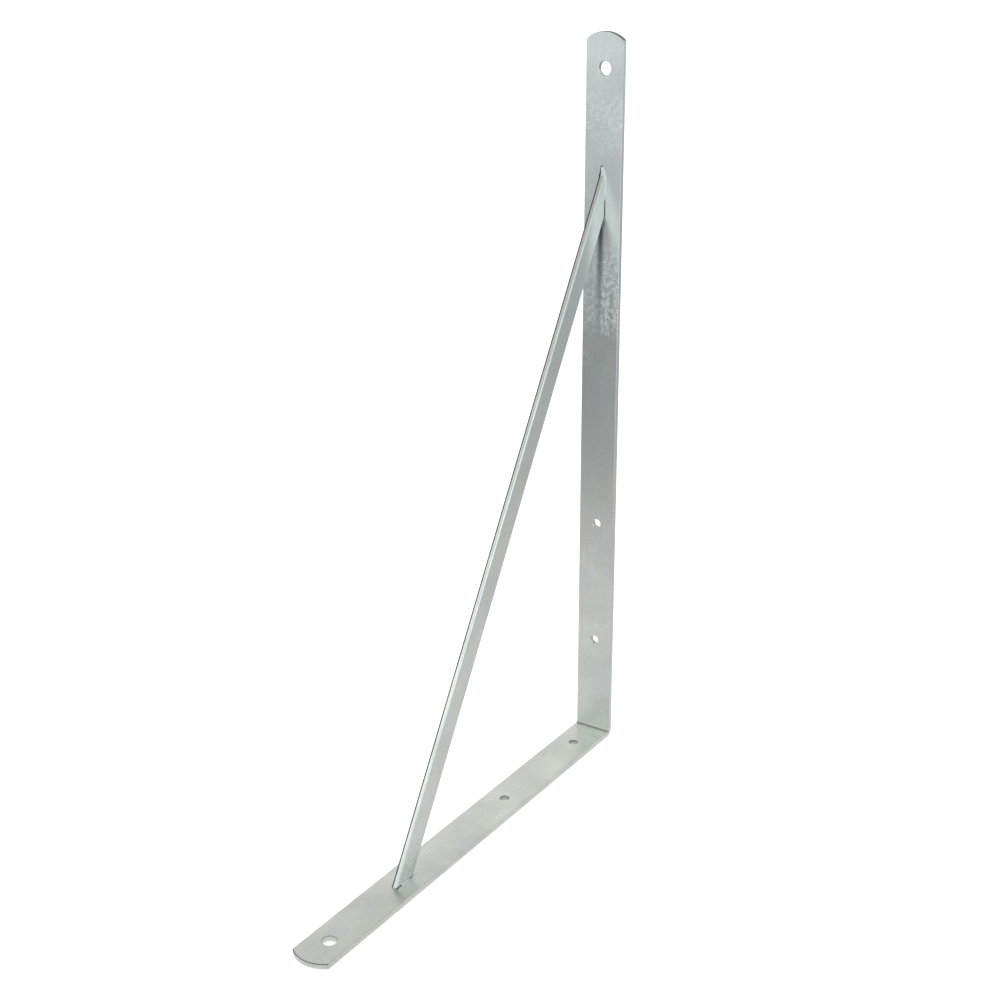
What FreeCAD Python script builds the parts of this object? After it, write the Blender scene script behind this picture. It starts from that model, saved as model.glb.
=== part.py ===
import FreeCAD, Part
import math
import os

os.makedirs("parts", exist_ok=True)

# Gallows shelf bracket in millimetres.
# The wall leg's back lies on the plane y = 0 and stands up along +Z.
# The shelf leg runs out along -Y with its underside on the plane z = 0.
# The strip's middle is the plane x = 0, and both planes meet there in the origin.

# Folded strip
leg_height = 495.0
leg_reach = 330.0
strip_width = 27.0
strip_thick = 3.5
bend_inside_radius = 1.5
end_radius = 20.5
corner_round = 0.6
edge_round = 0.45

# Punched screw holes, each distance measured from the outer corner or from a tip
end_hole_radius = 4.5
end_hole_inset = 22.5
pair_hole_radius = 3.1
wall_pair_start = 74.0
wall_pair_spacing = 90.0
shelf_pair_start = 31.0
shelf_pair_spacing = 90.0
rim_ease = 0.35

# Brace: a flat bar on edge between the legs
brace_thick = 4.0
brace_depth = 15.0
brace_top = 408.0
brace_reach = 245.2
brace_edge_round = 1.2

# Weld beads along the brace's two ends
bead_radius = 1.3
wall_bead_length = 19.0
tip_bead_rise = 4.2
tip_bead_length = 6.2
tip_bead_height = 1.75
tip_bead_side = 0.8
shelf_bead_length = 6.5
shelf_bead_setback = 6.0

# Values worked out from the sizes above
half_width = strip_width / 2
bend_outside_radius = bend_inside_radius + strip_thick
fold_plane = FreeCAD.Vector(0, 1, 1)
origin = FreeCAD.Vector(0, 0, 0)
across = FreeCAD.Vector(1, 0, 0)


def stand_up(shape):
    """Turn a shape made on the shelf leg to the same place on the wall leg."""
    return shape.mirror(origin, fold_plane)


def flat_leg(length):
    """One flat leg lying along -Y, from the bend to its shallow rounded tip."""
    sagitta = end_radius - math.sqrt(end_radius**2 - half_width**2)
    shoulder = sagitta - length
    left_root = FreeCAD.Vector(-half_width, -bend_outside_radius, 0)
    right_root = FreeCAD.Vector(half_width, -bend_outside_radius, 0)
    left_shoulder = FreeCAD.Vector(-half_width, shoulder, 0)
    right_shoulder = FreeCAD.Vector(half_width, shoulder, 0)
    tip = FreeCAD.Vector(0, -length, 0)
    outline = Part.Wire([
        Part.LineSegment(left_root, left_shoulder).toShape(),
        Part.Arc(left_shoulder, tip, right_shoulder).toShape(),
        Part.LineSegment(right_shoulder, right_root).toShape(),
        Part.LineSegment(right_root, left_root).toShape(),
    ])
    leg = Part.Face(outline).extrude(FreeCAD.Vector(0, 0, strip_thick))
    corners = [edge for edge in leg.Edges if is_upright(edge) and edge.CenterOfMass.y < shoulder + edge_round]
    return leg.makeFillet(corner_round, corners)


def is_upright(edge):
    """True for a straight edge that runs through the strip's thickness."""
    start, end = edge.Vertexes[0].Point, edge.Vertexes[-1].Point
    return abs(abs(end.z - start.z) - (end - start).Length) < edge_round / 100


def strip_bend():
    """The quarter turn between the legs, swept about the bend's axis."""
    section = Part.makePolygon([
        FreeCAD.Vector(-half_width, -bend_outside_radius, 0),
        FreeCAD.Vector(half_width, -bend_outside_radius, 0),
        FreeCAD.Vector(half_width, -bend_outside_radius, strip_thick),
        FreeCAD.Vector(-half_width, -bend_outside_radius, strip_thick),
        FreeCAD.Vector(-half_width, -bend_outside_radius, 0),
    ])
    bend_axis = FreeCAD.Vector(0, -bend_outside_radius, bend_outside_radius)
    return Part.Face(section).revolve(bend_axis, across, 90)


def screw_hole(radius, distance):
    """A cutter for one hole in the shelf leg, with its rim on the inner face eased."""
    centre = FreeCAD.Vector(0, -distance, 0)
    mouth = FreeCAD.Vector(0, -distance, strip_thick - rim_ease)
    shaft = Part.makeCylinder(radius, strip_thick, centre)
    return shaft.fuse(Part.makeCone(radius, radius + rim_ease, rim_ease, mouth))


def leg_holes(length, pair_start, pair_spacing):
    """Cutters for one leg: a large hole near the tip and a smaller pair near the bend."""
    return [
        screw_hole(end_hole_radius, length - end_hole_inset),
        screw_hole(pair_hole_radius, pair_start),
        screw_hole(pair_hole_radius, pair_start + pair_spacing),
    ]


def make_angle_bar():
    """One flat strip, punched, folded once and slightly rounded along its edges."""
    shelf_leg = flat_leg(leg_reach)
    wall_leg = stand_up(flat_leg(leg_height))
    strip = shelf_leg.fuse([strip_bend(), wall_leg]).removeSplitter()
    rims = [edge for edge in strip.Edges if is_strip_rim(edge)]
    strip = strip.makeFillet(edge_round, rims)
    holes = leg_holes(leg_reach, shelf_pair_start, shelf_pair_spacing)
    holes += [stand_up(hole) for hole in leg_holes(leg_height, wall_pair_start, wall_pair_spacing)]
    return strip.cut(holes).removeSplitter()


def is_strip_rim(edge):
    """True for an edge of a broad face that runs along the strip's sides or round its tips."""
    middle = (edge.FirstParameter + edge.LastParameter) / 2
    place, direction = edge.valueAt(middle), edge.tangentAt(middle)
    on_shelf_leg = -place.y > place.z
    thickness_axis = FreeCAD.Vector(0, 0, 1) if on_shelf_leg else FreeCAD.Vector(0, 1, 0)
    runs_through_thickness = abs(direction.dot(thickness_axis)) > math.cos(math.radians(30))
    straight_across = isinstance(edge.Curve, Part.Line) and abs(direction.dot(across)) > math.cos(math.radians(1))
    return not runs_through_thickness and not straight_across


def make_brace():
    """A flat bar on edge, mitred at both ends to lie flat on the legs."""
    rise = brace_top - strip_thick
    run = brace_reach - strip_thick
    slant = math.hypot(rise, run)
    inner_rise = rise - brace_depth * slant / run
    inner_run = run - brace_depth * slant / rise
    side = -brace_thick / 2
    corners = [
        FreeCAD.Vector(side, -strip_thick, strip_thick + rise),
        FreeCAD.Vector(side, -strip_thick, strip_thick + inner_rise),
        FreeCAD.Vector(side, -strip_thick - inner_run, strip_thick),
        FreeCAD.Vector(side, -strip_thick - run, strip_thick),
    ]
    outline = Part.makePolygon(corners + corners[:1])
    bar = Part.Face(outline).extrude(across * brace_thick)
    long_edges = [edge for edge in bar.Edges if edge.Length > slant / 2]
    return bar.makeFillet(brace_edge_round, long_edges)


def round_bead(start, end):
    """A straight round bead with round ends."""
    line = end - start
    bead = Part.makeCylinder(bead_radius, line.Length, start, line)
    return bead.fuse([Part.makeSphere(bead_radius, point) for point in (start, end)])


def make_wall_weld(angle_bar, brace):
    """The bead that runs up both sides of the brace's top end and closes over its tip."""
    top = brace_top - tip_bead_length / 2
    low = brace_top + tip_bead_rise - wall_bead_length
    beads = []
    for side in (-brace_thick / 2, brace_thick / 2):
        beads.append(round_bead(FreeCAD.Vector(side, -strip_thick, low), FreeCAD.Vector(side, -strip_thick, top)))
    stretch = FreeCAD.Matrix()
    stretch.scale(brace_thick / 2 + tip_bead_side, tip_bead_height, tip_bead_length)
    cap = Part.makeSphere(1).transformGeometry(stretch)
    cap.translate(FreeCAD.Vector(0, -strip_thick, brace_top + tip_bead_rise - tip_bead_length))
    return beads[0].fuse([beads[1], cap]).cut([angle_bar, brace])


def make_shelf_weld(angle_bar, brace):
    """A short bead on each side of the brace's foot."""
    front = -brace_reach + shelf_bead_setback
    beads = []
    for side in (-brace_thick / 2, brace_thick / 2):
        start = FreeCAD.Vector(side, front, strip_thick)
        end = FreeCAD.Vector(side, front + shelf_bead_length, strip_thick)
        beads.append(round_bead(start, end).cut([angle_bar, brace]))
    return Part.makeCompound(beads)


angle_bar = make_angle_bar()
brace = make_brace()
pieces = {
    "angle_bar": angle_bar,
    "brace": brace,
    "wall_weld": make_wall_weld(angle_bar, brace),
    "shelf_weld": make_shelf_weld(angle_bar, brace),
}
for name, shape in pieces.items():
    shape.exportStep("parts/" + name + ".step")
    box = shape.BoundBox
    print(name, len(shape.Solids), "solids", shape.isValid(), round(shape.Volume, 2), "mm3", box)
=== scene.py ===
# %% [markdown]
# # A zinc-plated gallows shelf bracket
# This kind of bracket is two simple pieces of steel and the short welds between them. A flat strip is
# punched, its two ends are trimmed to a shallow arc, and it is folded to a right angle. A narrow flat bar is cut
# at both ends and welded across the corner on its thin edge, and the whole thing is zinc plated.
# The lesson makes each piece the way the workshop does, so that the edges come out as real ones do.
#
# Everything is in metres. X runs across the strip, the wall leg stands up along Z with its back at
# Y = 0, and the shelf leg lies towards -Y with its underside at Z = 0.

import math

import bmesh
import bpy
from mathutils import Matrix, Vector
from mathutils.geometry import delaunay_2d_cdt


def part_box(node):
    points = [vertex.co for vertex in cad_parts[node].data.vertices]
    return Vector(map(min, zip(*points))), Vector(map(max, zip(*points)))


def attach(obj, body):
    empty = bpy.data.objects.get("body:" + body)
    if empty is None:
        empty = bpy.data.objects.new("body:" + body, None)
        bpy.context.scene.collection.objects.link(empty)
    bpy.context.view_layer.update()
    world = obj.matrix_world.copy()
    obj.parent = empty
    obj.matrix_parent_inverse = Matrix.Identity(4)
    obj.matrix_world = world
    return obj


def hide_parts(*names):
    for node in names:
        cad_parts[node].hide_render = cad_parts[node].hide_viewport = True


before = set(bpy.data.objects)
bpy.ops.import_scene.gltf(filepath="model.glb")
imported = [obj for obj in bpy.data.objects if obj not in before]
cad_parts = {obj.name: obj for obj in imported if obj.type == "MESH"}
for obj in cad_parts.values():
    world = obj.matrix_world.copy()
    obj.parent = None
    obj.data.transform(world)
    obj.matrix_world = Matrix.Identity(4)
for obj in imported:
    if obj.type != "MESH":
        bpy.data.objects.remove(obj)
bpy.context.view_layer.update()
mm = 0.001

# %% [markdown]
# The measured model already says how tall, deep and wide the bracket is, so those three sizes are read
# from it. The rest are the maker's sizes: the thickness of the strip, the tool that folds it, the arc
# of the trimming die and the punches.

# %% Sizes of the strip
strip_low, strip_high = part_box("angle_bar")
wall_leg_height = strip_high.z
shelf_leg_reach = -strip_low.y
strip_half_width = strip_high.x
strip_thick = 3.5 * mm
fold_inside = 1.5 * mm
fold_outside = fold_inside + strip_thick
end_arc = 20.5 * mm
end_corner = 0.6 * mm
strip_edge = 0.45 * mm
print("legs in mm:", round(wall_leg_height / mm, 2), round(shelf_leg_reach / mm, 2))

# %% [markdown]
# The holes are punched while the strip is flat: a large one near each tip and two smaller ones on
# each leg. They are listed by their distance from the folded corner, because a fitter measures from there.

# %% Places and radii of the punched holes
end_hole, screw_hole = 4.5 * mm, 3.1 * mm
end_hole_inset = 22.5 * mm
wall_holes = [(74 * mm, screw_hole), (164 * mm, screw_hole), (wall_leg_height - end_hole_inset, end_hole)]
shelf_holes = [(31 * mm, screw_hole), (121 * mm, screw_hole), (shelf_leg_reach - end_hole_inset, end_hole)]
hole_edge = 0.35 * mm
print("holes punched:", len(wall_holes) + len(shelf_holes))

# %% [markdown]
# A folding machine neither stretches nor shortens the middle of the sheet. The flat blank therefore
# has, between its two straight legs, a band as long as a quarter circle through the middle of the
# sheet. The blank lies where the shelf leg will stay, and the rest of it waits to be folded up.

# %% Length of the flat blank
fold_band = math.pi / 2 * (fold_outside - strip_thick / 2)
blank_start = -shelf_leg_reach
blank_end = wall_leg_height - 2 * fold_outside + fold_band


def along_wall(height):
    """Place along the flat blank of a height on the wall leg."""
    return height - 2 * fold_outside + fold_band


print("blank length in mm:", round((blank_end - blank_start) / mm, 2))

# %% [markdown]
# The blank is a flat outline with six round holes. Its rims are not sharp: rolling rounds the long
# edges, and shears and punches roll the rims over a little. Those thin rounded rims are what
# catches the light in a photograph, so they are modelled, not bevelled afterwards. Every edge loop is
# drawn several times, each time a little further in and a little lower, which gives a clean rounding.

# %% Rounded rim of a sheet
def rim_steps(rounding, steps):
    """(inset, height) pairs up one rounded edge, up the cut face and over the other rounded edge."""
    lower = []
    for step in range(steps + 1):
        angle = math.pi / 2 * step / steps
        lower.append((rounding * (1 - math.sin(angle)), rounding * (1 - math.cos(angle))))
    upper = [(inset, strip_thick - height) for inset, height in reversed(lower)]
    return lower + upper


print("loops in a rim:", len(rim_steps(strip_edge, 4)))

# %% [markdown]
# The outline runs once round the blank: along the right side, over the wall leg's arc, back along the
# left side and round the shelf leg's arc. Both long sides have their points at the same stations,
# close together where the sheet will bend.

# %% Outline of the blank
def arc_points(centre, radius, start, stop, count):
    return [
        (
            centre[0] + radius * math.cos(start + (stop - start) * i / count),
            centre[1] + radius * math.sin(start + (stop - start) * i / count),
        )
        for i in range(count + 1)
    ]


def end_points(inset):
    """One trimmed end, from the right side over the arc to the left side, with the arc's centre at 0."""
    across = strip_half_width - end_corner
    up = math.sqrt((end_arc - end_corner) ** 2 - across**2)
    turn = math.atan2(up, across)
    points = arc_points((across, up), end_corner - inset, 0, turn, 5)
    points += arc_points((0, 0), end_arc - inset, turn, math.pi - turn, 28)[1:-1]
    points += arc_points((-across, up), end_corner - inset, math.pi - turn, math.pi, 5)
    return points


def side_stations():
    """Places along both long sides: fine through the fold, a finger's width apart on the legs."""
    band_start = -fold_outside
    fold = [band_start + fold_band * i / 12 for i in range(13)]
    lower_end, upper_end = blank_start + end_arc, blank_end - end_arc
    lower = [lower_end + (band_start - lower_end) * i / 32 for i in range(1, 32)]
    upper = [fold[-1] + (upper_end - fold[-1]) * i / 48 for i in range(1, 48)]
    return lower + fold + upper


def outline(inset):
    side = strip_half_width - inset
    top = [(x, blank_end - end_arc + y) for x, y in end_points(inset)]
    bottom = [(-x, blank_start + end_arc - y) for x, y in end_points(inset)]
    right = [(side, s) for s in side_stations()]
    left = [(-side, s) for s in reversed(side_stations())]
    return right + top + left + bottom


print("points round the blank:", len(outline(0)))

# %% [markdown]
# Plating goes matt where the steel under it is torn: the sheared rim of both ends and the rims and walls
# of the punched holes, while the long sides were rolled and stay nearly bright. Much of the darkening
# is painted light, though: the near-black lines on the rounded rims of both ends are a painted dark
# reflection, and the darker walls of the punched holes are painted shade inside the holes. So every
# kind of rim has its own row of numbers here, one for each loop from the underside up, from 0 for
# bright to 1 for darkest. The mesh carries the number on each of its points, and the material reads it later.

# %% Dullness and painted shade of each loop of a rim
# Near 1 these numbers are partly matt torn plating and partly painted shade and dark reflections.
rim_dullness_and_shade = {
    "top end": (0, 0.6, 0.7, 0.7, 0.6, 0.75, 1, 0.9, 0.35, 0),
    "shelf tip": (0, 0, 0, 0, 0, 0, 0.8, 0.9, 0.8, 0),
    "rolled side": (0, 0, 0, 0, 0, 0, 0.1, 0.1, 0.1, 0),
    "wall hole": (0, 0.4, 0.5, 0.6, 0.7, 0, 0, 0, 0, 0),
    "screw hole": (0, 0.3, 0.3, 0.3, 0.3, 0.5, 0.8, 0.7, 0.3, 0),
    "end hole": (0, 0, 0, 0, 0, 0.1, 0.6, 0.7, 0.4, 0),
}
shoulder = end_arc - end_points(0)[1][1]


def outer_rim_kind(point):
    if blank_end - point.y < shoulder:
        return "top end"
    return "shelf tip" if point.y - blank_start < shoulder else "rolled side"


def hole_kind(place, radius):
    if place > 0:
        return "wall hole"
    return "end hole" if radius == end_hole else "screw hole"


print("kinds of rim:", ", ".join(rim_dullness_and_shade))

# %% [markdown]
# A rim is skinned from its loops as a basket is woven round its hoops: every loop is a ring of
# points, and a row of small faces joins it to the next one. The outer rim and the rims of the
# holes are made by the same helper, so all of them are rounded in the same way.

# %% Skin a rim over its loops
def hole_loop(place, radius, inset):
    return arc_points((0, place), radius + inset, 0, -2 * math.pi, 64)[:-1]


def rim_of(bm, loop_at, rounding, kind_at):
    """Stacks a loop up through the sheet and skins it. Returns its lowest and highest rings."""
    dull, rings = bm.verts.layers.float["dull"], []
    for number, (inset, height) in enumerate(rim_steps(rounding, 4)):
        rings.append([bm.verts.new((*point, height)) for point in loop_at(inset)])
        for vertex in rings[-1]:
            vertex[dull] = rim_dullness_and_shade[kind_at(vertex.co)][number]
    for low, high in zip(rings, rings[1:]):
        for i in range(len(low)):
            j = (i + 1) % len(low)
            bm.faces.new((low[i], low[j], high[j], high[i]))
    return rings[0], rings[-1]


print("points round a hole:", len(hole_loop(0, screw_hole, 0)))

# %% [markdown]
# Each flat side of the blank is one face with six holes in it. A constrained triangulation fills it,
# because it keeps every given line. It is also given a straight line across the blank at each
# station, so that the sheet has a row of points wherever it is going to bend.

# %% Fill a flat side
def cap(bm, outer, holes, cross):
    """Fills one flat side between the outline and the holes."""
    points, edges, hole_of = list(outer), [], {}
    edges += [(i, (i + 1) % len(outer)) for i in range(len(outer))]
    for number, ring in enumerate(holes):
        start = len(points)
        edges += [(start + i, start + (i + 1) % len(ring)) for i in range(len(ring))]
        hole_of.update({start + i: number for i in range(len(ring))})
        points += ring
    edges += cross
    flat = [Vector((v.co.x, v.co.y)) for v in points]
    found = delaunay_2d_cdt(flat, edges, [], 0, 1e-9)
    for face in found[2]:
        ids = [found[3][i][0] for i in face]
        inside = {hole_of.get(i) for i in ids}
        if None in inside or len(inside) > 1:
            bm.faces.new([points[i] for i in ids])


def lines_across(low, holes):
    """Pairs of points on the two long sides that a straight line can join clear of the holes."""
    count = len(side_stations())
    left_start = count + len(end_points(0))
    pairs = [(i, left_start + count - 1 - i) for i in range(count)]
    return [
        (a, b) for a, b in pairs
        if all(abs(low[a].co.y - place) > radius + 2 * hole_edge for place, radius in holes)
    ]


print("stations on a long side:", len(side_stations()))

# %% [markdown]
# Now the blank is put together: an outer rim, six hole rims and two flat sides. It also gets a UV map
# in metres, taken while it is still flat, so that the lines from rolling can run round the fold.

# %% The flat punched blank as a closed mesh
def flat_blank():
    bm = bmesh.new()
    bm.verts.layers.float.new("dull")
    low, high = rim_of(bm, outline, strip_edge, outer_rim_kind)
    holes = [(-place, radius) for place, radius in shelf_holes]
    holes += [(along_wall(place), radius) for place, radius in wall_holes]
    rims = [
        rim_of(bm, lambda inset: hole_loop(*hole, inset), hole_edge, lambda point: hole_kind(*hole))
        for hole in holes
    ]
    clear = lines_across(low, holes)
    cap(bm, low, [rim[0] for rim in rims], clear)
    cap(bm, high, [rim[1] for rim in rims], clear)
    bmesh.ops.recalc_face_normals(bm, faces=bm.faces)
    rolled = bm.loops.layers.uv.new("rolled")
    for face in bm.faces:
        face.smooth = True
        for loop in face.loops:
            loop[rolled].uv = (loop.vert.co.x, loop.vert.co.y)
    open_edges = sum(1 for e in bm.edges if len(e.link_faces) != 2)
    print("blank faces:", len(bm.faces), "open edges:", open_edges, "points round it:", len(low))
    mesh = bpy.data.meshes.new("flat_blank")
    bm.to_mesh(mesh)
    bm.free()
    return mesh


def new_piece(name, mesh=None):
    piece = bpy.data.objects.new(name, mesh or bpy.data.meshes.new(name))
    bpy.context.scene.collection.objects.link(piece)
    return piece


blank = new_piece("folded_strip", flat_blank())

# %% [markdown]
# The plating on all the pieces is bright zinc. It is a metal, so nearly all of its look is what it
# reflects, and the material only says how tinted, how blurred and how uneven that reflection is.
# Patterns, masks and tints are small nodes that are laid again and again, so each gets a helper.

# %% Helpers that lay shader nodes
def link(tree, source, target):
    tree.links.new(source, target)


def lay(tree, kind, settings=None, **inputs):
    """Adds one node. Inputs are named by their label in lower case, or in0, in1 for a plain number."""
    node = tree.nodes.new(kind)
    for key, value in (settings or {}).items():
        setattr(node, key, value)
    for key, value in inputs.items():
        if key.startswith("in") and key[2:].isdigit():
            socket = node.inputs[int(key[2:])]
        else:
            socket = next(s for s in node.inputs if s.name.lower().replace(" ", "_") == key and s.enabled)
        if isinstance(value, bpy.types.NodeSocket):
            tree.links.new(value, socket)
        else:
            socket.default_value = value
    return node


def pattern(tree, space, stretch, scale, detail, roughness=0.55):
    """A noise pattern, stretched along some axis before it is read. Returns its grey output."""
    mapping = tree.nodes.new("ShaderNodeMapping")
    mapping.inputs["Scale"].default_value = stretch
    link(tree, space, mapping.inputs["Vector"])
    noise = tree.nodes.new("ShaderNodeTexNoise")
    noise.inputs["Scale"].default_value = scale
    noise.inputs["Detail"].default_value = detail
    noise.inputs["Roughness"].default_value = roughness
    link(tree, mapping.outputs["Vector"], noise.inputs["Vector"])
    return noise.outputs["Fac"]


def spread(tree, value, low, high, to_low, to_high):
    """Spreads the middle of a pattern over the range that a finish needs."""
    node = tree.nodes.new("ShaderNodeMapRange")
    for name, number in (("From Min", low), ("From Max", high), ("To Min", to_low), ("To Max", to_high)):
        node.inputs[name].default_value = number
    link(tree, value, node.inputs["Value"])
    return node.outputs["Result"]


def blend_colours(tree, factor, first, second, kind="MIX"):
    node = tree.nodes.new("ShaderNodeMix")
    node.data_type, node.blend_type = "RGBA", kind
    for socket, value in ((node.inputs[0], factor), (node.inputs[6], first), (node.inputs[7], second)):
        if isinstance(value, (tuple, float)):
            socket.default_value = value
        else:
            link(tree, value, socket)
    return node.outputs[2]


def raise_surface(tree, height, distance, strength, under=None):
    node = tree.nodes.new("ShaderNodeBump")
    node.inputs["Distance"].default_value = distance
    node.inputs["Strength"].default_value = strength
    link(tree, height, node.inputs["Height"])
    if under is not None:
        link(tree, under, node.inputs["Normal"])
    return node.outputs["Normal"]


def calculate(tree, operation, first, second=0.0):
    return lay(tree, "ShaderNodeMath", {"operation": operation}, in0=first, in1=second).outputs[0]


# %% [markdown]
# Most marks on the bracket are found by their place: between two heights, or within so many
# millimetres of an edge. These helpers read a place and turn it into a soft-edged mask.

# %% Helpers that find a place
def smooth_band(tree, value, low, high, border):
    """1 between low and high, falling to 0 over a border on both sides."""
    rising = spread(tree, value, low - border, low, 0, 1)
    return calculate(tree, "MULTIPLY", rising, spread(tree, value, high, high + border, 1, 0))


def coordinates(tree, place):
    """X, Y and Z of a place."""
    return tuple(lay(tree, "ShaderNodeSeparateXYZ", vector=place).outputs)


def reach_along(tree, where, axis):
    """How far a place or a direction reaches along an axis."""
    return lay(tree, "ShaderNodeVectorMath", {"operation": "DOT_PRODUCT"}, in0=where, in1=axis).outputs["Value"]


# %% [markdown]
# Four things make the zinc uneven: long faint lines from rolling, a fine mottle of crystals, soft
# broad clouds where the passivation is thicker and turns slightly green or blue, and curled bright
# flecks where the heat of a weld touched it. Each is a noise pattern of its own size. The rolling
# lines on the strip follow the sheet round its fold, so they read its UV map, and on the bar they are
# turned to run along it. Every piece is also darkened in places of its own, partly as matt plating and
# partly as painted shade and painted dark reflections, and flecked in places of its own, so those two
# masks are handed to the plating as functions.

# %% Zinc plating
zinc_light, zinc_dark = (0.835, 0.855, 0.825, 1), (0.76, 0.785, 0.765, 1)
# This near-black stands for matt torn plating and also for painted shade and painted dark reflections.
dull_zinc_and_painted_shade = (0.045, 0.05, 0.05, 1)
heat_tint = (0.9, 0.95, 0.97, 1)
tint_blue, tint_green = (0.968, 0.988, 0.995, 1), (0.985, 1.0, 0.968, 1)


def zinc_plating(name, dull_and_shade_places, fleck_places, grain="Object", lengthwise=(0, 0, 0), gloss=0.3):
    """Bright zinc over steel. grain: where the rolling lines are read, lengthwise: how they are turned."""
    material = bpy.data.materials.new(name)
    material.use_nodes = True
    tree = material.node_tree
    shader = tree.nodes["Principled BSDF"]
    shader.inputs["Metallic"].default_value = 1
    where = tree.nodes.new("ShaderNodeTexCoord")
    place = where.outputs["Object"]
    turned = lay(tree, "ShaderNodeMapping", vector=where.outputs[grain], rotation=lengthwise).outputs[0]
    clouds = pattern(tree, place, (1, 1, 1), 28, 2)
    crystals = pattern(tree, place, (1, 1, 1), 700, 2, 0.6)
    lines = pattern(tree, turned, (1, 0.02, 1), 900, 3)
    bands = pattern(tree, turned, (1, 0.06, 1), 150, 2)
    waves = pattern(tree, turned, (1, 0.3, 1), 60, 1)
    curls = calculate(tree, "SUBTRACT", pattern(tree, place, (1, 1, 1), 800, 3), 0.5)
    curls = calculate(tree, "ABSOLUTE", curls)
    patches = calculate(tree, "MAXIMUM", spread(tree, clouds, 0.56, 0.66, 0, 0.45), fleck_places(tree, place))
    scattered = spread(tree, pattern(tree, place, (1, 1, 1), 300, 2), 0.42, 0.55, 0, 1)
    flecks = calculate(tree, "MULTIPLY", spread(tree, curls, 0.02, 0.05, 1, 0), patches)
    flecks = calculate(tree, "MULTIPLY", flecks, scattered)
    colour = blend_colours(tree, spread(tree, clouds, 0.35, 0.65, 0, 1), zinc_dark, zinc_light)
    tint = blend_colours(tree, spread(tree, bands, 0.4, 0.6, 0, 1), tint_blue, tint_green)
    colour = blend_colours(tree, 1.0, colour, tint, "MULTIPLY")
    for value, darker, lighter in ((crystals, 0.95, 1.04), (lines, 0.97, 1.025)):
        colour = blend_colours(tree, 1.0, colour, spread(tree, value, 0.3, 0.7, darker, lighter), "MULTIPLY")
    colour = blend_colours(tree, calculate(tree, "MULTIPLY", patches, 0.6), colour, heat_tint, "MULTIPLY")
    colour = blend_colours(tree, 1.0, colour, spread(tree, flecks, 0, 1, 0.96, 1.45), "MULTIPLY")
    # Painted shade, painted dark reflections and matt plating are blended in here as one near-black.
    dull = dull_and_shade_places(tree, place)
    colour = blend_colours(tree, dull, colour, dull_zinc_and_painted_shade)
    normal = raise_surface(tree, crystals, 0.00001, 0.5)
    normal = raise_surface(tree, lines, 0.00001, 0.4, normal)
    normal = raise_surface(tree, flecks, 0.00005, 0.8, normal)
    normal = raise_surface(tree, waves, 0.0001, 0.35, normal)
    rougher = calculate(tree, "MULTIPLY", calculate(tree, "MAXIMUM", dull, flecks), 0.15)
    rough = calculate(tree, "ADD", spread(tree, clouds, 0.35, 0.65, gloss + 0.03, gloss - 0.03), rougher)
    link(tree, colour, shader.inputs["Base Color"])
    link(tree, rough, shader.inputs["Roughness"])
    link(tree, normal, shader.inputs["Normal"])
    return material


# %% [markdown]
# Beside each weld the seam between the brace and the strip is left open: below the weld at the
# top, and in front of the beads at the foot and behind them. The shade in that narrow gap is painted
# as a fine dark line. The line lies on both metals, and so both the strip's plating and the bar's
# take it from one helper, which paints it a hair's breadth on each side of the seam.

# %% Painted shade in the open seams beside the welds
open_spans = {
    "wall": (379 * mm, 389.5 * mm),
    "toe": (-244.5 * mm, -239.8 * mm),
    "heel": (-232.6 * mm, -226 * mm),
}


def painted_seam_shade(tree, place):
    """Painted shade in the open parts of the seams, up to a hair's breadth away from the strip's faces."""
    x, y, z = coordinates(tree, place)
    depth, border = 0.4 * mm, 0.3 * mm
    near_wall = smooth_band(tree, y, -strip_thick - depth, 0.1 * mm - strip_thick, border)
    near_shelf = smooth_band(tree, z, strip_thick - 0.1 * mm, strip_thick + depth, border)
    wall = calculate(tree, "MULTIPLY", near_wall, smooth_band(tree, z, *open_spans["wall"], border))
    toe, heel = (smooth_band(tree, y, *open_spans[end], border) for end in ("toe", "heel"))
    heel = calculate(tree, "MULTIPLY", heel, 0.5)
    shelf = calculate(tree, "MULTIPLY", near_shelf, calculate(tree, "MAXIMUM", toe, heel))
    shelf = calculate(tree, "MULTIPLY", shelf, 0.8)
    beside_the_brace = smooth_band(tree, calculate(tree, "ABSOLUTE", x), 1.7 * mm, 2.15 * mm, border)
    return calculate(tree, "MULTIPLY", beside_the_brace, calculate(tree, "MAXIMUM", wall, shelf))


for name, (low, high) in open_spans.items():
    print("open seam at the", name, "in mm:", round((high - low) / mm, 1))

# %% [markdown]
# The strip is darkened on its cut rims and in its holes, partly as matt torn plating and partly as
# painted shade and painted dark reflections. A little painted shade lies in the crease inside the fold,
# and a painted shadow of the brace runs down the wall leg below the brace. The weld's heat left flecks
# in the plating below the brace's top end and, fainter, above it, only on the side that faces the brace.

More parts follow.
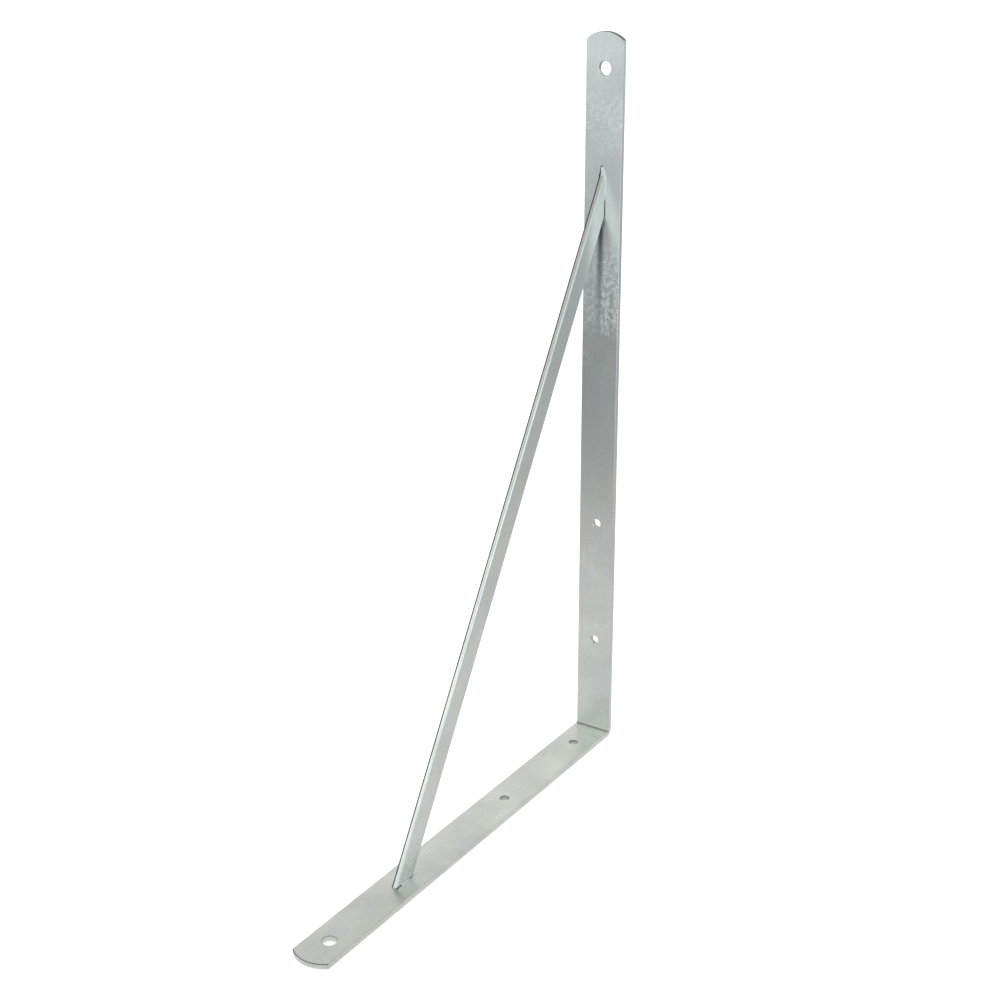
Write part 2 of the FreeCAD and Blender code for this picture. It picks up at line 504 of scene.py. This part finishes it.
# %% Dull places, painted shade and flecks of the strip
def strip_dull_and_shade_places(tree, place):
    x, y, z = coordinates(tree, place)
    rims = lay(tree, "ShaderNodeAttribute", {"attribute_name": "dull"}).outputs["Fac"]
    aside = calculate(tree, "ABSOLUTE", calculate(tree, "ADD", x, 0.8 * mm))
    # A painted shadow of the brace: a dark streak down the wall leg's front below the brace.
    painted_brace_shadow = spread(tree, aside, 0.7 * mm, 3.3 * mm, 1, 0)
    for limit in (
        spread(tree, z, 295 * mm, 370 * mm, 0, 0.92),
        spread(tree, z, 379 * mm, 382 * mm, 1, 0),
        spread(tree, y, -strip_thick, 0.1 * mm - strip_thick, 1, 0),
    ):
        painted_brace_shadow = calculate(tree, "MULTIPLY", painted_brace_shadow, limit)
    fold_y = calculate(tree, "ADD", y, fold_outside)
    fold_z = calculate(tree, "SUBTRACT", z, fold_outside)
    from_fold = lay(
        tree, "ShaderNodeVectorMath", {"operation": "LENGTH"},
        in0=lay(tree, "ShaderNodeCombineXYZ", x=0.0, y=fold_y, z=fold_z).outputs[0],
    ).outputs["Value"]
    # Painted shade in the crease inside the fold.
    painted_fold_shade = spread(tree, fold_y, 0.3 * mm, 1.0 * mm, 0, 0.4)
    for limit in (
        spread(tree, fold_z, -1.0 * mm, -0.3 * mm, 1, 0),
        spread(tree, from_fold, fold_inside + 0.2 * mm, fold_inside + 0.5 * mm, 1, 0),
    ):
        painted_fold_shade = calculate(tree, "MULTIPLY", painted_fold_shade, limit)
    marks = calculate(tree, "MAXIMUM", painted_brace_shadow, painted_seam_shade(tree, place))
    return calculate(tree, "MAXIMUM", calculate(tree, "MAXIMUM", rims, painted_fold_shade), marks)


def strip_fleck_places(tree, place):
    x, y, z = coordinates(tree, place)
    below_the_brace = smooth_band(tree, z, 312 * mm, 350 * mm, 18 * mm)
    below_the_brace = calculate(tree, "MULTIPLY", below_the_brace, spread(tree, x, -3 * mm, 2 * mm, 0.5, 1))
    above_it = calculate(tree, "MULTIPLY", smooth_band(tree, z, 438 * mm, 450 * mm, 18 * mm), 0.6)
    heated = calculate(tree, "MAXIMUM", below_the_brace, above_it)
    in_front = spread(tree, y, -strip_thick, 0.5 * mm - strip_thick, 1, 0)
    return calculate(tree, "MULTIPLY", heated, in_front)


strip_zinc = zinc_plating("strip_zinc", strip_dull_and_shade_places, strip_fleck_places, "UV", gloss=0.34)
print("strip material nodes:", len(strip_zinc.node_tree.nodes))

# %% [markdown]
# The strip, the brace and the welds are each made by a small tree of Geometry Nodes. A tree keeps its
# sizes as named inputs, so the same tree makes a bar or a bead of another size. The inputs are filled
# in by their identifiers, the tree is run once, and its result is kept as a plain mesh.

# %% Helpers that lay geometry nodes
def node_tree(name, sizes):
    """An empty Geometry Nodes tree with a mesh going in and out, and one named input for each size."""
    tree = bpy.data.node_groups.new(name, "GeometryNodeTree")
    tree.interface.new_socket("Geometry", in_out="INPUT", socket_type="NodeSocketGeometry")
    tree.interface.new_socket("Geometry", in_out="OUTPUT", socket_type="NodeSocketGeometry")
    for label, value in sizes.items():
        kind = "NodeSocketInt" if isinstance(value, int) else "NodeSocketFloat"
        if isinstance(value, Vector):
            kind = "NodeSocketVector"
        tree.interface.new_socket(label, in_out="INPUT", socket_type=kind)
    return tree, tree.nodes.new("NodeGroupInput"), tree.nodes.new("NodeGroupOutput")


def run_tree(piece, tree, sizes):
    """Runs the tree on a piece with these sizes and keeps the result as its plain mesh."""
    modifier = piece.modifiers.new(tree.name, "NODES")
    modifier.node_group = tree
    for item in tree.interface.items_tree:
        if item.in_out == "INPUT" and item.name in sizes:
            modifier[item.identifier] = sizes[item.name]
    depsgraph = bpy.context.evaluated_depsgraph_get()
    made = bpy.data.meshes.new_from_object(piece.evaluated_get(depsgraph), depsgraph=depsgraph)
    piece.modifiers.clear()
    piece.data = made
    made.name = piece.name
    print(piece.name, "has", len(made.polygons), "faces after", tree.name)
    return piece


# %% [markdown]
# Folding is a rule: every point keeps its place across the strip and its depth in the sheet, and only
# its place along the blank turns into an angle round the folding bar. That suits Geometry Nodes
# better than moving points one by one, because the radius stays a named size on the modifier. Up
# to the fold nothing moves, through it the points turn, and past it they stand straight up.

# %% Fold the blank
fold_sizes = {"Fold band": fold_band, "Outside radius": fold_outside}
tree, given, result = node_tree("fold_strip", fold_sizes)
band, radius = given.outputs["Fold band"], given.outputs["Outside radius"]
place = lay(tree, "ShaderNodeSeparateXYZ", vector=lay(tree, "GeometryNodeInputPosition").outputs[0])
past_start = calculate(tree, "ADD", place.outputs["Y"], radius)
turned = lay(tree, "ShaderNodeClamp", value=past_start, min=0.0, max=band).outputs[0]
angle = calculate(tree, "MULTIPLY", calculate(tree, "DIVIDE", turned, band), math.pi / 2)
arm = calculate(tree, "SUBTRACT", radius, place.outputs["Z"])
before = calculate(tree, "MINIMUM", past_start, 0.0)
after = calculate(tree, "MAXIMUM", calculate(tree, "SUBTRACT", past_start, band), 0.0)
swing_y = calculate(tree, "MULTIPLY", arm, calculate(tree, "SINE", angle))
swing_z = calculate(tree, "MULTIPLY", arm, calculate(tree, "COSINE", angle))
new_y = calculate(tree, "SUBTRACT", calculate(tree, "ADD", swing_y, before), radius)
new_z = calculate(tree, "SUBTRACT", calculate(tree, "ADD", radius, after), swing_z)
folded = lay(tree, "ShaderNodeCombineXYZ", x=place.outputs["X"], y=new_y, z=new_z)
moved = lay(tree, "GeometryNodeSetPosition", geometry=given.outputs["Geometry"], position=folded.outputs[0])
plain = lay(tree, "GeometryNodeRealizeInstances", geometry=moved.outputs[0])
plated = lay(tree, "GeometryNodeSetMaterial", geometry=plain.outputs[0], material=strip_zinc)
tree.links.new(plated.outputs[0], result.inputs[0])
folded_strip = run_tree(blank, tree, fold_sizes)

# %% [markdown]
# The faces of the strip are dead flat and only its rims are round. Smooth shading alone would smear
# the rims' slant over the flat faces, and a metal shows that at once. Weighted normals give the
# large faces the last word, so the reflections stay straight up to the rounded rim.

# %% Keep flat faces flat
def keep_flats_flat(piece):
    weighted = piece.modifiers.new("flat_faces", "WEIGHTED_NORMAL")
    weighted.mode = "FACE_AREA"
    weighted.weight = 100
    weighted.thresh = 0.001


def fit_to_bracket(piece, slot, *nodes):
    """The piece rides with the bracket and stands for the measured solids of the same name."""
    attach(piece, "root")
    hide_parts(*nodes)


keep_flats_flat(folded_strip)
fit_to_bracket(folded_strip, "zinc_strip", "angle_bar")
print("strip box in mm:", [round(v / mm, 2) for v in folded_strip.dimensions])

# %% [markdown]
# The brace is a flat bar set on its thin edge, and its ends are cut so that they sit flat on the two
# legs. Where it starts and stops is read from the measured model. Its slant follows from that, and
# so does the direction across the bar, from its outer narrow face towards the corner.

# %% Sizes of the brace
brace_low, brace_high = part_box("brace")
brace_half = brace_high.x
brace_depth = 15 * mm
brace_edge = 1.2 * mm
brace_top = Vector((0, -strip_thick, brace_high.z))
brace_foot = Vector((0, brace_low.y, strip_thick))
brace_run = (brace_foot - brace_top).normalized()
brace_inward = Vector((0, -brace_run.z, brace_run.y))
brace_start = brace_top + brace_inward * brace_depth / 2
brace_stop = brace_foot + brace_inward * brace_depth / 2
print("brace from", [round(v / mm, 1) for v in brace_top], "to", [round(v / mm, 1) for v in brace_foot])

# %% [markdown]
# The bar was slit from sheet. Along one corner of the bar a thin near-black line is painted from end
# to end, a painted dark reflection on that rounded corner. It is found by its place: near the left side
# and near the outer narrow face. The heat of the welds has left flecks in the plating at the foot of the bar.

# %% Plating of the brace
def brace_painted_dark_places(tree, place):
    x = coordinates(tree, place)[0]
    from_tip = lay(tree, "ShaderNodeVectorMath", {"operation": "SUBTRACT"}, in0=place, in1=brace_top).outputs[0]
    depth = reach_along(tree, from_tip, brace_inward)
    at_left = spread(tree, x, -0.85 * mm, -0.45 * mm, 1, 0)
    at_front = spread(tree, depth, 0.7 * mm, 1.0 * mm, 1, 0)
    # A painted dark reflection along the bar's left outer corner.
    painted_edge_reflection = calculate(tree, "MULTIPLY", at_left, at_front)
    return calculate(tree, "MAXIMUM", painted_edge_reflection, painted_seam_shade(tree, place))


def brace_fleck_places(tree, place):
    z = coordinates(tree, place)[2]
    return spread(tree, z, strip_thick + 10 * mm, strip_thick + 18 * mm, 1, 0)


brace_zinc = zinc_plating(
    "brace_zinc", brace_painted_dark_places, brace_fleck_places,
    lengthwise=(math.atan2(brace_run.y, -brace_run.z), 0, 0), gloss=0.3,
)
print("brace material nodes:", len(brace_zinc.node_tree.nodes))

# %% [markdown]
# A bar is a section swept along a line. The tree draws a straight line between the middles of the two
# ends, marks each ring with its share of the way, and sweeps a rounded rectangle along it.

# %% Sweep the brace
brace_sizes = {
    "Start": brace_start,
    "End": brace_stop,
    "Thickness": 2 * brace_half,
    "Depth": brace_depth,
    "Edge rounding": brace_edge,
    "Rings": 17,
    "Wall face": -strip_thick,
    "Shelf face": strip_thick,
}
tree, given, result = node_tree("sweep_brace", brace_sizes)
start, end = given.outputs["Start"], given.outputs["End"]
line = lay(tree, "GeometryNodeCurvePrimitiveLine", start=start, end=end)
rings = lay(tree, "GeometryNodeResampleCurve", curve=line.outputs[0], count=given.outputs["Rings"])
upright = lay(tree, "GeometryNodeSetCurveNormal", {"mode": "Z_UP"}, curve=rings.outputs[0])
share = lay(tree, "GeometryNodeSplineParameter").outputs["Factor"]
marked = lay(
    tree, "GeometryNodeStoreNamedAttribute", {"data_type": "FLOAT"},
    geometry=upright.outputs[0], name="share", value=share,
)
section = lay(
    tree, "GeometryNodeCurvePrimitiveQuadrilateral",
    width=given.outputs["Thickness"], height=given.outputs["Depth"],
)
rounded = lay(
    tree, "GeometryNodeFilletCurve", {"mode": "POLY"},
    curve=section.outputs[0], radius=given.outputs["Edge rounding"], count=6,
)
swept = lay(
    tree, "GeometryNodeCurveToMesh",
    curve=marked.outputs[0], profile_curve=rounded.outputs[0], fill_caps=True,
)
print("tree so far:", len(tree.nodes), "nodes")

# %% [markdown]
# The sweep ends square, but a saw cuts the real bar at a slant. The tree therefore slides the
# points of the first and last rings along the bar, each just as far as it is from the leg's face,
# and both ends come out as flat cuts that lie on the legs.

# %% Cut both ends of the brace
along_bar = lay(
    tree, "ShaderNodeVectorMath", {"operation": "NORMALIZE"},
    in0=lay(tree, "ShaderNodeVectorMath", {"operation": "SUBTRACT"}, in0=end, in1=start).outputs[0],
)
here = lay(tree, "ShaderNodeSeparateXYZ", vector=lay(tree, "GeometryNodeInputPosition").outputs[0])
run = lay(tree, "ShaderNodeSeparateXYZ", vector=along_bar.outputs[0])
to_wall = calculate(
    tree, "DIVIDE", calculate(tree, "SUBTRACT", given.outputs["Wall face"], here.outputs["Y"]), run.outputs["Y"]
)
to_shelf = calculate(
    tree, "DIVIDE", calculate(tree, "SUBTRACT", given.outputs["Shelf face"], here.outputs["Z"]), run.outputs["Z"]
)
ring_share = lay(
    tree, "GeometryNodeInputNamedAttribute", {"data_type": "FLOAT"}, name="share"
).outputs["Attribute"]
at_top = calculate(tree, "LESS_THAN", ring_share, 0.001)
at_foot = calculate(tree, "GREATER_THAN", ring_share, 0.999)
slide = calculate(
    tree, "ADD", calculate(tree, "MULTIPLY", at_top, to_wall), calculate(tree, "MULTIPLY", at_foot, to_shelf)
)
shift = lay(tree, "ShaderNodeVectorMath", {"operation": "SCALE"}, in0=along_bar.outputs[0], scale=slide)
cut = lay(tree, "GeometryNodeSetPosition", geometry=swept.outputs[0], offset=shift.outputs[0])
smooth = lay(tree, "GeometryNodeSetShadeSmooth", geometry=cut.outputs[0])
plain = lay(tree, "GeometryNodeRealizeInstances", geometry=smooth.outputs[0])
plated = lay(tree, "GeometryNodeSetMaterial", geometry=plain.outputs[0], material=brace_zinc)
tree.links.new(plated.outputs[0], result.inputs[0])
brace = run_tree(new_piece("welded_brace"), tree, brace_sizes)

# %% [markdown]
# A cut end is never quite sharp. A small bevel, only on the corners of the two cuts, takes their
# sharpness off. It leaves the fine groove that shows as a line round a bar that sits on a plate.

# %% Take the saw's sharpness off the cut ends
saw_edge = brace.modifiers.new("saw_edge", "BEVEL")
saw_edge.width = 0.4 * mm
saw_edge.segments = 2
saw_edge.limit_method = "ANGLE"
saw_edge.angle_limit = math.radians(28)
keep_flats_flat(brace)
fit_to_bracket(brace, "zinc_bar", "brace")
print("brace box in mm:", [round(v / mm, 2) for v in brace.dimensions])

# %% [markdown]
# The welds are plated with the rest. The weld at the top gets a painted dark reflection on its left and
# over its crown, where it carries on the painted dark line along the bar's corner. All the weld metal is
# flecked, most of all at the foot.

# %% Plating of the welds
def weld_painted_dark_places(tree, place):
    """Painted dark reflection on the left and over the crown of the weld at the top."""
    x, y, z = coordinates(tree, place)
    # Painted dark reflection over the crown and down the left of the weld.
    crown = spread(tree, z, 410.6 * mm, 411.3 * mm, 0, 0.9)
    crown = calculate(tree, "MULTIPLY", crown, spread(tree, x, -0.2 * mm, 0.4 * mm, 1, 0))
    left, middle = spread(tree, x, -1.0 * mm, -0.6 * mm, 0.95, 0), spread(tree, x, 0.9 * mm, 1.3 * mm, 0.1, 0)
    left = calculate(tree, "MAXIMUM", left, middle)
    left = calculate(tree, "MULTIPLY", left, spread(tree, z, 403 * mm, 404 * mm, 0, 1))
    left = calculate(tree, "MULTIPLY", left, spread(tree, x, -2.4 * mm, -2.1 * mm, 0, 1))
    return calculate(tree, "MAXIMUM", crown, left)


def weld_fleck_places(tree, place):
    return spread(tree, coordinates(tree, place)[2], 10 * mm, 20 * mm, 1, 0.3)


weld_zinc = zinc_plating("weld_zinc", weld_painted_dark_places, weld_fleck_places, gloss=0.34)
print("weld material nodes:", len(weld_zinc.node_tree.nodes))

# %% [markdown]
# A short arc weld is a row of drops of molten steel that run together. The seam is drawn first, as bare
# lines whose points say how full the bead is there.

# %% Lines along a seam
def seam_line(name, *paths):
    """A piece with only the seam's lines. Each point is (x, y, z, share of the drop's full radius)."""
    piece = new_piece(name)
    points = [point for path in paths for point in path]
    edges, first = [], 0
    for path in paths:
        edges += [(first + i, first + i + 1) for i in range(len(path) - 1)]
        first += len(path)
    piece.data.from_pydata([point[:3] for point in points], edges, [])
    fullness = piece.data.attributes.new("fullness", "FLOAT", "POINT")
    fullness.data.foreach_set("value", [point[3] for point in points])
    return piece


weld_sizes = {"Drop radius": 2.0 * mm, "Unevenness": 0.05, "Step": 0.6 * mm, "Fineness": 0.14 * mm}
print("drop radius in mm:", weld_sizes["Drop radius"] / mm)

# %% [markdown]
# The tree puts a drop at each step along the lines, lets each one differ a little in size, merges
# them into one skin and smooths it. The drops sink into the steel on both sides, so the bead has no
# gap below it. Every weld on the bracket is run by this one tree.

# %% Run a weld bead along a seam
weld_tree, given, result = node_tree("run_weld_bead", weld_sizes)
line = lay(weld_tree, "GeometryNodeMeshToCurve", mesh=given.outputs["Geometry"])
steps = lay(
    weld_tree, "GeometryNodeResampleCurve", {"mode": "LENGTH"},
    curve=line.outputs[0], length=given.outputs["Step"],
)
drops = lay(weld_tree, "GeometryNodeCurveToPoints", {"mode": "EVALUATED"}, curve=steps.outputs[0])
least = calculate(weld_tree, "SUBTRACT", 1.0, given.outputs["Unevenness"])
uneven = lay(weld_tree, "FunctionNodeRandomValue", {"data_type": "FLOAT"}, in2=least, in3=1.0, in8=7)
full = lay(
    weld_tree, "GeometryNodeInputNamedAttribute", {"data_type": "FLOAT"}, name="fullness"
).outputs["Attribute"]
size = calculate(weld_tree, "MULTIPLY", given.outputs["Drop radius"], uneven.outputs[1])
size = calculate(weld_tree, "MULTIPLY", size, full)
mist = lay(
    weld_tree, "GeometryNodePointsToVolume", {"resolution_mode": "VOXEL_SIZE"},
    points=drops.outputs[0], voxel_size=given.outputs["Fineness"], radius=size,
)
skin = lay(
    weld_tree, "GeometryNodeVolumeToMesh", {"resolution_mode": "GRID"},
    volume=mist.outputs[0], threshold=0.1,
)
relaxed = lay(
    weld_tree, "GeometryNodeBlurAttribute", {"data_type": "FLOAT_VECTOR"},
    value=lay(weld_tree, "GeometryNodeInputPosition").outputs[0], iterations=8,
)
settled = lay(weld_tree, "GeometryNodeSetPosition", geometry=skin.outputs[0], position=relaxed.outputs[0])
smooth = lay(weld_tree, "GeometryNodeSetShadeSmooth", geometry=settled.outputs[0])
plain = lay(weld_tree, "GeometryNodeRealizeInstances", geometry=smooth.outputs[0])
plated = lay(weld_tree, "GeometryNodeSetMaterial", geometry=plain.outputs[0], material=weld_zinc)
weld_tree.links.new(plated.outputs[0], result.inputs[0])
print("weld tree nodes:", len(weld_tree.nodes))

# %% [markdown]
# At the top the weld closes over the bar like a pointed hood. Three lines of drops start together
# above the tip and spread to the width of the bar, where they sink into its end. Two more run down
# its sides, the right one from the top of the hood, so that the hood's shoulder is round.

# %% Weld over the top end of the brace
weld_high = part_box("wall_weld")[1]
face = -strip_thick
# Each point is (across, out of the wall leg's face, below the weld's top) in mm, and its fullness
hood_paths = (
    ((-0.55, -0.1, 1.2, 0.5), (-1.0, 0, 3.4, 0.52), (-1.2, 0.4, 7.2, 0.5), (-1.1, 1.0, 8.8, 0.5)),
    ((-0.5, -0.1, 1.25, 0.5), (-0.1, 0, 3.2, 0.66), (0, 0.35, 7.4, 0.7), (0, 1.1, 8.8, 0.6)),
    ((-0.45, -0.1, 1.3, 0.5), (0.7, 0, 3.8, 0.52), (1.15, 0.3, 7.2, 0.5), (1.1, 1.0, 8.8, 0.5)),
)
side_paths = (
    ((-2, 0, 6.4, 0.5), (-2, 0, 19.7, 0.35)),
    ((0.1, 0, 2.4, 0.45), (1.1, 0, 3.8, 0.5), (1.8, 0, 6.4, 0.5), (2, 0, 9, 0.5), (2, 0, 19.7, 0.35)),
)
wall_seams = [
    [
        (aside * mm, face - out * mm, weld_high.z - below * mm, fullness)
        for aside, out, below, fullness in path
    ]
    for path in hood_paths + side_paths
]
wall_weld = run_tree(seam_line("wall_weld_bead", *wall_seams), weld_tree, weld_sizes)
fit_to_bracket(wall_weld, "zinc_weld", "wall_weld")

# %% [markdown]
# At the foot the bar got only a short straight bead on each side, in the middle of its slanting cut.

# %% Weld on both sides of the brace's foot
foot_low, foot_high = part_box("shelf_weld")
bead_end = 1.3 * mm
foot_seams = [
    [
        (side * brace_half, foot_low.y + bead_end, strip_thick, 0.4),
        (side * brace_half, foot_high.y - bead_end, strip_thick, 0.4),
    ]
    for side in (-1, 1)
]
shelf_weld = run_tree(seam_line("shelf_weld_beads", *foot_seams), weld_tree, weld_sizes)
fit_to_bracket(shelf_weld, "zinc_weld", "shelf_weld")

# %% [markdown]
# The bracket stands on a plain white floor in a white room. To the camera both are simply white, and
# the floor glows a little so that the bracket's shadow on it stays faint. A ramp of greys is needed
# several times for the light that the metal sees, so it is the first helper here.

# %% White floor
def grey_ramp(tree, value, stops):
    """A grey that follows a value through (place, grey) stops."""
    ramp = tree.nodes.new("ShaderNodeValToRGB").color_ramp
    node = tree.nodes[-1]
    for place, grey in stops[1:-1]:
        ramp.elements.new(place)
    for element, (place, grey) in zip(ramp.elements, stops):
        element.position, element.color = place, (grey, grey, grey, 1)
    link(tree, value, node.inputs["Fac"])
    return node.outputs["Color"]


floor_mesh = bpy.data.meshes.new("floor")
floor_radius, floor_height = 14, -0.1 * mm
ring = [
    (floor_radius * math.cos(math.tau * i / 96), floor_radius * math.sin(math.tau * i / 96), floor_height)
    for i in range(96)
]
floor_mesh.from_pydata(ring, [], [list(range(96))])
floor = new_piece("floor", floor_mesh)
floor_paint = bpy.data.materials.new("white_floor")
floor_paint.use_nodes = True
floor_mesh.materials.append(floor_paint)
tree = floor_paint.node_tree
paint = tree.nodes["Principled BSDF"]
paint.inputs["Base Color"].default_value = (0.93, 0.93, 0.93, 1)
paint.inputs["Roughness"].default_value = 1
paint.inputs["Specular IOR Level"].default_value = 0
paint.inputs["Emission Color"].default_value = (1, 1, 1, 1)
paint.inputs["Emission Strength"].default_value = 0.25
print("floor is", 2 * floor_radius, "m across")

# %% [markdown]
# A metal piece shows its room, and an evenly white room would leave it flat and without shape. So the
# rays that the zinc sends out meet another floor than the camera does. It is bright close to the
# bracket, as a lit table top is, dim half a metre to two metres away, and bright again beyond, with
# a slightly cool light. At the front right a window lights it, and right below the shelf leg it has
# one even tone, so that the hidden side of the leg stays calm. Light Path tells the rays apart.

# %% What the zinc sees of the floor
where = tree.nodes.new("ShaderNodeTexCoord").outputs["Object"]
ramp_reach = 5.0
distance = lay(tree, "ShaderNodeVectorMath", {"operation": "LENGTH"}, in0=where).outputs["Value"]
far = calculate(tree, "POWER", calculate(tree, "DIVIDE", distance, ramp_reach), 0.5)
front_left = [
    (0.0, 0.735), (0.23, 0.725), (0.27, 0.66), (0.305, 0.49), (0.33, 0.35), (0.355, 0.24), (0.385, 0.16),
    (0.43, 0.13), (0.5, 0.13), (0.54, 0.18), (0.58, 0.22), (0.636, 0.38), (0.674, 0.53), (0.716, 0.74),
    (0.764, 0.9), (0.82, 1.0), (0.88, 0.98), (1.0, 0.87),
]
back_right = [
    (0.0, 0.74), (0.14, 0.72), (0.2, 0.68), (0.26, 0.63), (0.3, 0.58), (0.36, 0.51),
    (0.44, 0.475), (0.53, 0.41), (0.6, 0.38), (0.7, 0.45), (1.0, 0.7),
]
bearing = lay(tree, "ShaderNodeVectorMath", {"operation": "NORMALIZE"}, in0=where).outputs["Vector"]
to_back_right = spread(tree, reach_along(tree, bearing, (0.554, 0.832, 0)), -0.6, 0.6, 0, 1)
seen = blend_colours(tree, to_back_right, grey_ramp(tree, far, front_left), grey_ramp(tree, far, back_right))
window = spread(tree, reach_along(tree, bearing, (0.554, -0.832, 0)), 0.7, 0.92, 0, 1)
window = calculate(tree, "MULTIPLY", window, spread(tree, distance, 0.45, 0.7, 0, 1))
seen = blend_colours(tree, window, seen, (1.25, 1.25, 1.25, 1))
cool_light = (0.95, 1.0, 1.06, 1)
cooled = blend_colours(tree, 1.0, seen, cool_light, "MULTIPLY")
seen = blend_colours(tree, spread(tree, distance, 0.6, 1.1, 0, 1), seen, cooled)
x, y, z = coordinates(tree, where)
off_centre = calculate(tree, "ABSOLUTE", x)
under = calculate(
    tree, "MULTIPLY", spread(tree, off_centre, 0.8 * strip_half_width, strip_half_width, 1, 0),
    smooth_band(tree, y, -shelf_leg_reach, 0, 2 * mm),
)
seen = blend_colours(tree, under, seen, (0.8, 0.8, 0.8, 1))
glow = tree.nodes.new("ShaderNodeEmission")
link(tree, seen, glow.inputs["Color"])
rays = tree.nodes.new("ShaderNodeLightPath")
either = tree.nodes.new("ShaderNodeMixShader")
link(tree, rays.outputs["Is Glossy Ray"], either.inputs[0])
link(tree, paint.outputs[0], either.inputs[1])
link(tree, glow.outputs[0], either.inputs[2])
link(tree, either.outputs[0], tree.nodes["Material Output"].inputs["Surface"])
print("floor nodes:", len(tree.nodes))

# %% [markdown]
# The room is white to the camera too, and gives a plain even light. To the zinc its walls are bright
# up to a third of the way and fall off to a dim ceiling. The wall at the front left is dimmer, with one
# bright band across it, and that band is what runs down the brace's narrow face as a white line.
# A dark doorway at the left keeps that face from going flat white when it is seen from the front.
# The low part of the room at the front right is a little dimmer. The light from the front is slightly
# cool, and the light from the back slightly warm.

# %% White room
world = bpy.data.worlds.new("white_room")
bpy.context.scene.world = world
world.use_nodes = True
tree = world.node_tree
background = tree.nodes["Background"]
where = tree.nodes.new("ShaderNodeTexCoord").outputs["Generated"]
x, y, height = coordinates(tree, where)
sky = grey_ramp(tree, height, [
    (0.0, 0.9), (0.45, 0.99), (0.55, 0.95), (0.61, 0.76), (0.68, 0.48), (0.75, 0.34), (1.0, 0.32)
])
dim_wall = grey_ramp(tree, height, [
    (0.0, 0.9), (0.15, 0.78), (0.29, 0.66), (0.32, 0.8), (0.345, 1.7), (0.425, 1.55), (0.455, 0.42),
    (0.485, 0.45), (0.52, 0.75), (0.62, 0.55), (1.0, 0.32),
])
warm_band = blend_colours(
    tree, spread(tree, height, 0.3, 0.36, 0, 1), (1.0, 1.0, 1.0, 1), (1.045, 1.0, 0.965, 1)
)
dim_wall = blend_colours(tree, 1.0, dim_wall, warm_band, "MULTIPLY")
to_front_left = spread(tree, reach_along(tree, where, (-0.55, -0.835, 0)), 0.6, 0.78, 0, 1)
sky = blend_colours(tree, to_front_left, sky, dim_wall)
doorway = spread(tree, reach_along(tree, where, (-0.975, -0.172, 0.139)), 0.9, 0.96, 0, 1)
sky = blend_colours(tree, doorway, sky, (0.06, 0.06, 0.06, 1))
to_front_right = spread(tree, reach_along(tree, where, (0.62, -0.78, 0)), 0.6, 0.85, 0, 1)
low_right = calculate(tree, "MULTIPLY", to_front_right, spread(tree, height, 0.26, 0.38, 1, 0))
sky = blend_colours(tree, low_right, sky, (0.62, 0.62, 0.62, 1))
front_light, back_light = (0.97, 1.0, 1.02, 1), (1.0, 0.99, 0.965, 1)
light_tint = blend_colours(tree, spread(tree, y, -0.2, 0.3, 0, 1), front_light, back_light)
sky = blend_colours(tree, 1.0, sky, light_tint, "MULTIPLY")
rays = tree.nodes.new("ShaderNodeLightPath")
lit = blend_colours(tree, rays.outputs["Is Diffuse Ray"], sky, (1.15, 1.15, 1.15, 1))
seen = blend_colours(tree, rays.outputs["Is Camera Ray"], lit, (1.0, 1.0, 1.0, 1))
link(tree, seen, background.inputs["Color"])
print("room nodes:", len(tree.nodes))

# %% [markdown]
# Two soft boxes stand in front, one on each side. A soft box is a lamp behind a sheet of cloth, and an
# area light is the same thing. They are wide and low, so that each gives the rounded edges one soft
# line of light. The camera doesn't see them, but the zinc does.

# %% Two soft boxes in front
middle_of_bracket = Vector((0, -0.12, 0.15))


def soft_box(name, bearing, height, width, tall, brightness):
    """A soft box 1.8 m away, at a bearing left of the front and a height above the horizon in degrees."""
    data = bpy.data.lights.new(name, "AREA")
    data.shape = "RECTANGLE"
    data.size, data.size_y = width, tall
    data.energy = brightness * math.pi * width * tall
    lamp = new_piece(name, data)
    left, rise = math.radians(bearing), math.radians(height)
    toward = Vector((-math.sin(left) * math.cos(rise), -math.cos(left) * math.cos(rise), math.sin(rise)))
    lamp.location = middle_of_bracket + toward * 1.8
    lamp.rotation_mode = "QUATERNION"
    lamp.rotation_quaternion = toward.to_track_quat("Z", "Y")
    lamp.visible_camera = False
    print(name, "power in W:", round(data.energy, 2))


soft_box("left_soft_box", 50, 20, 0.85, 0.45, 1.1)
soft_box("right_soft_box", -35, 30, 1.2, 0.5, 1.25)

# %% [markdown]
# The camera stands to the right of the bracket and above it, a little over a metre away. Its place, its
# turn and its lens were worked out from the straight edges and the holes of the bracket.

# %% Camera
turn, tilt, roll = math.radians(33.66), math.radians(21.18), math.radians(-0.30)
to_right, upwards, away = -0.06995, 0.16836, 1.17773
back = Vector((math.sin(turn) * math.cos(tilt), -math.cos(turn) * math.cos(tilt), math.sin(tilt)))
right = Vector((math.cos(turn), math.sin(turn), 0))
up = back.cross(right)
right, up = (
    math.cos(roll) * right + math.sin(roll) * up,
    math.cos(roll) * up - math.sin(roll) * right,
)
camera_data = bpy.data.cameras.new("camera")
camera_data.lens = 57.565
camera_data.sensor_width = 36
camera = new_piece("camera", camera_data)
eye = to_right * right + upwards * up + away * back
camera.matrix_world = Matrix((
    (right.x, up.x, back.x, eye.x), (right.y, up.y, back.y, eye.y), (right.z, up.z, back.z, eye.z), (0, 0, 0, 1)
))
bpy.context.scene.camera = camera
bpy.context.scene.view_settings.view_transform = "Standard"
print("camera at", [round(v, 4) for v in eye])
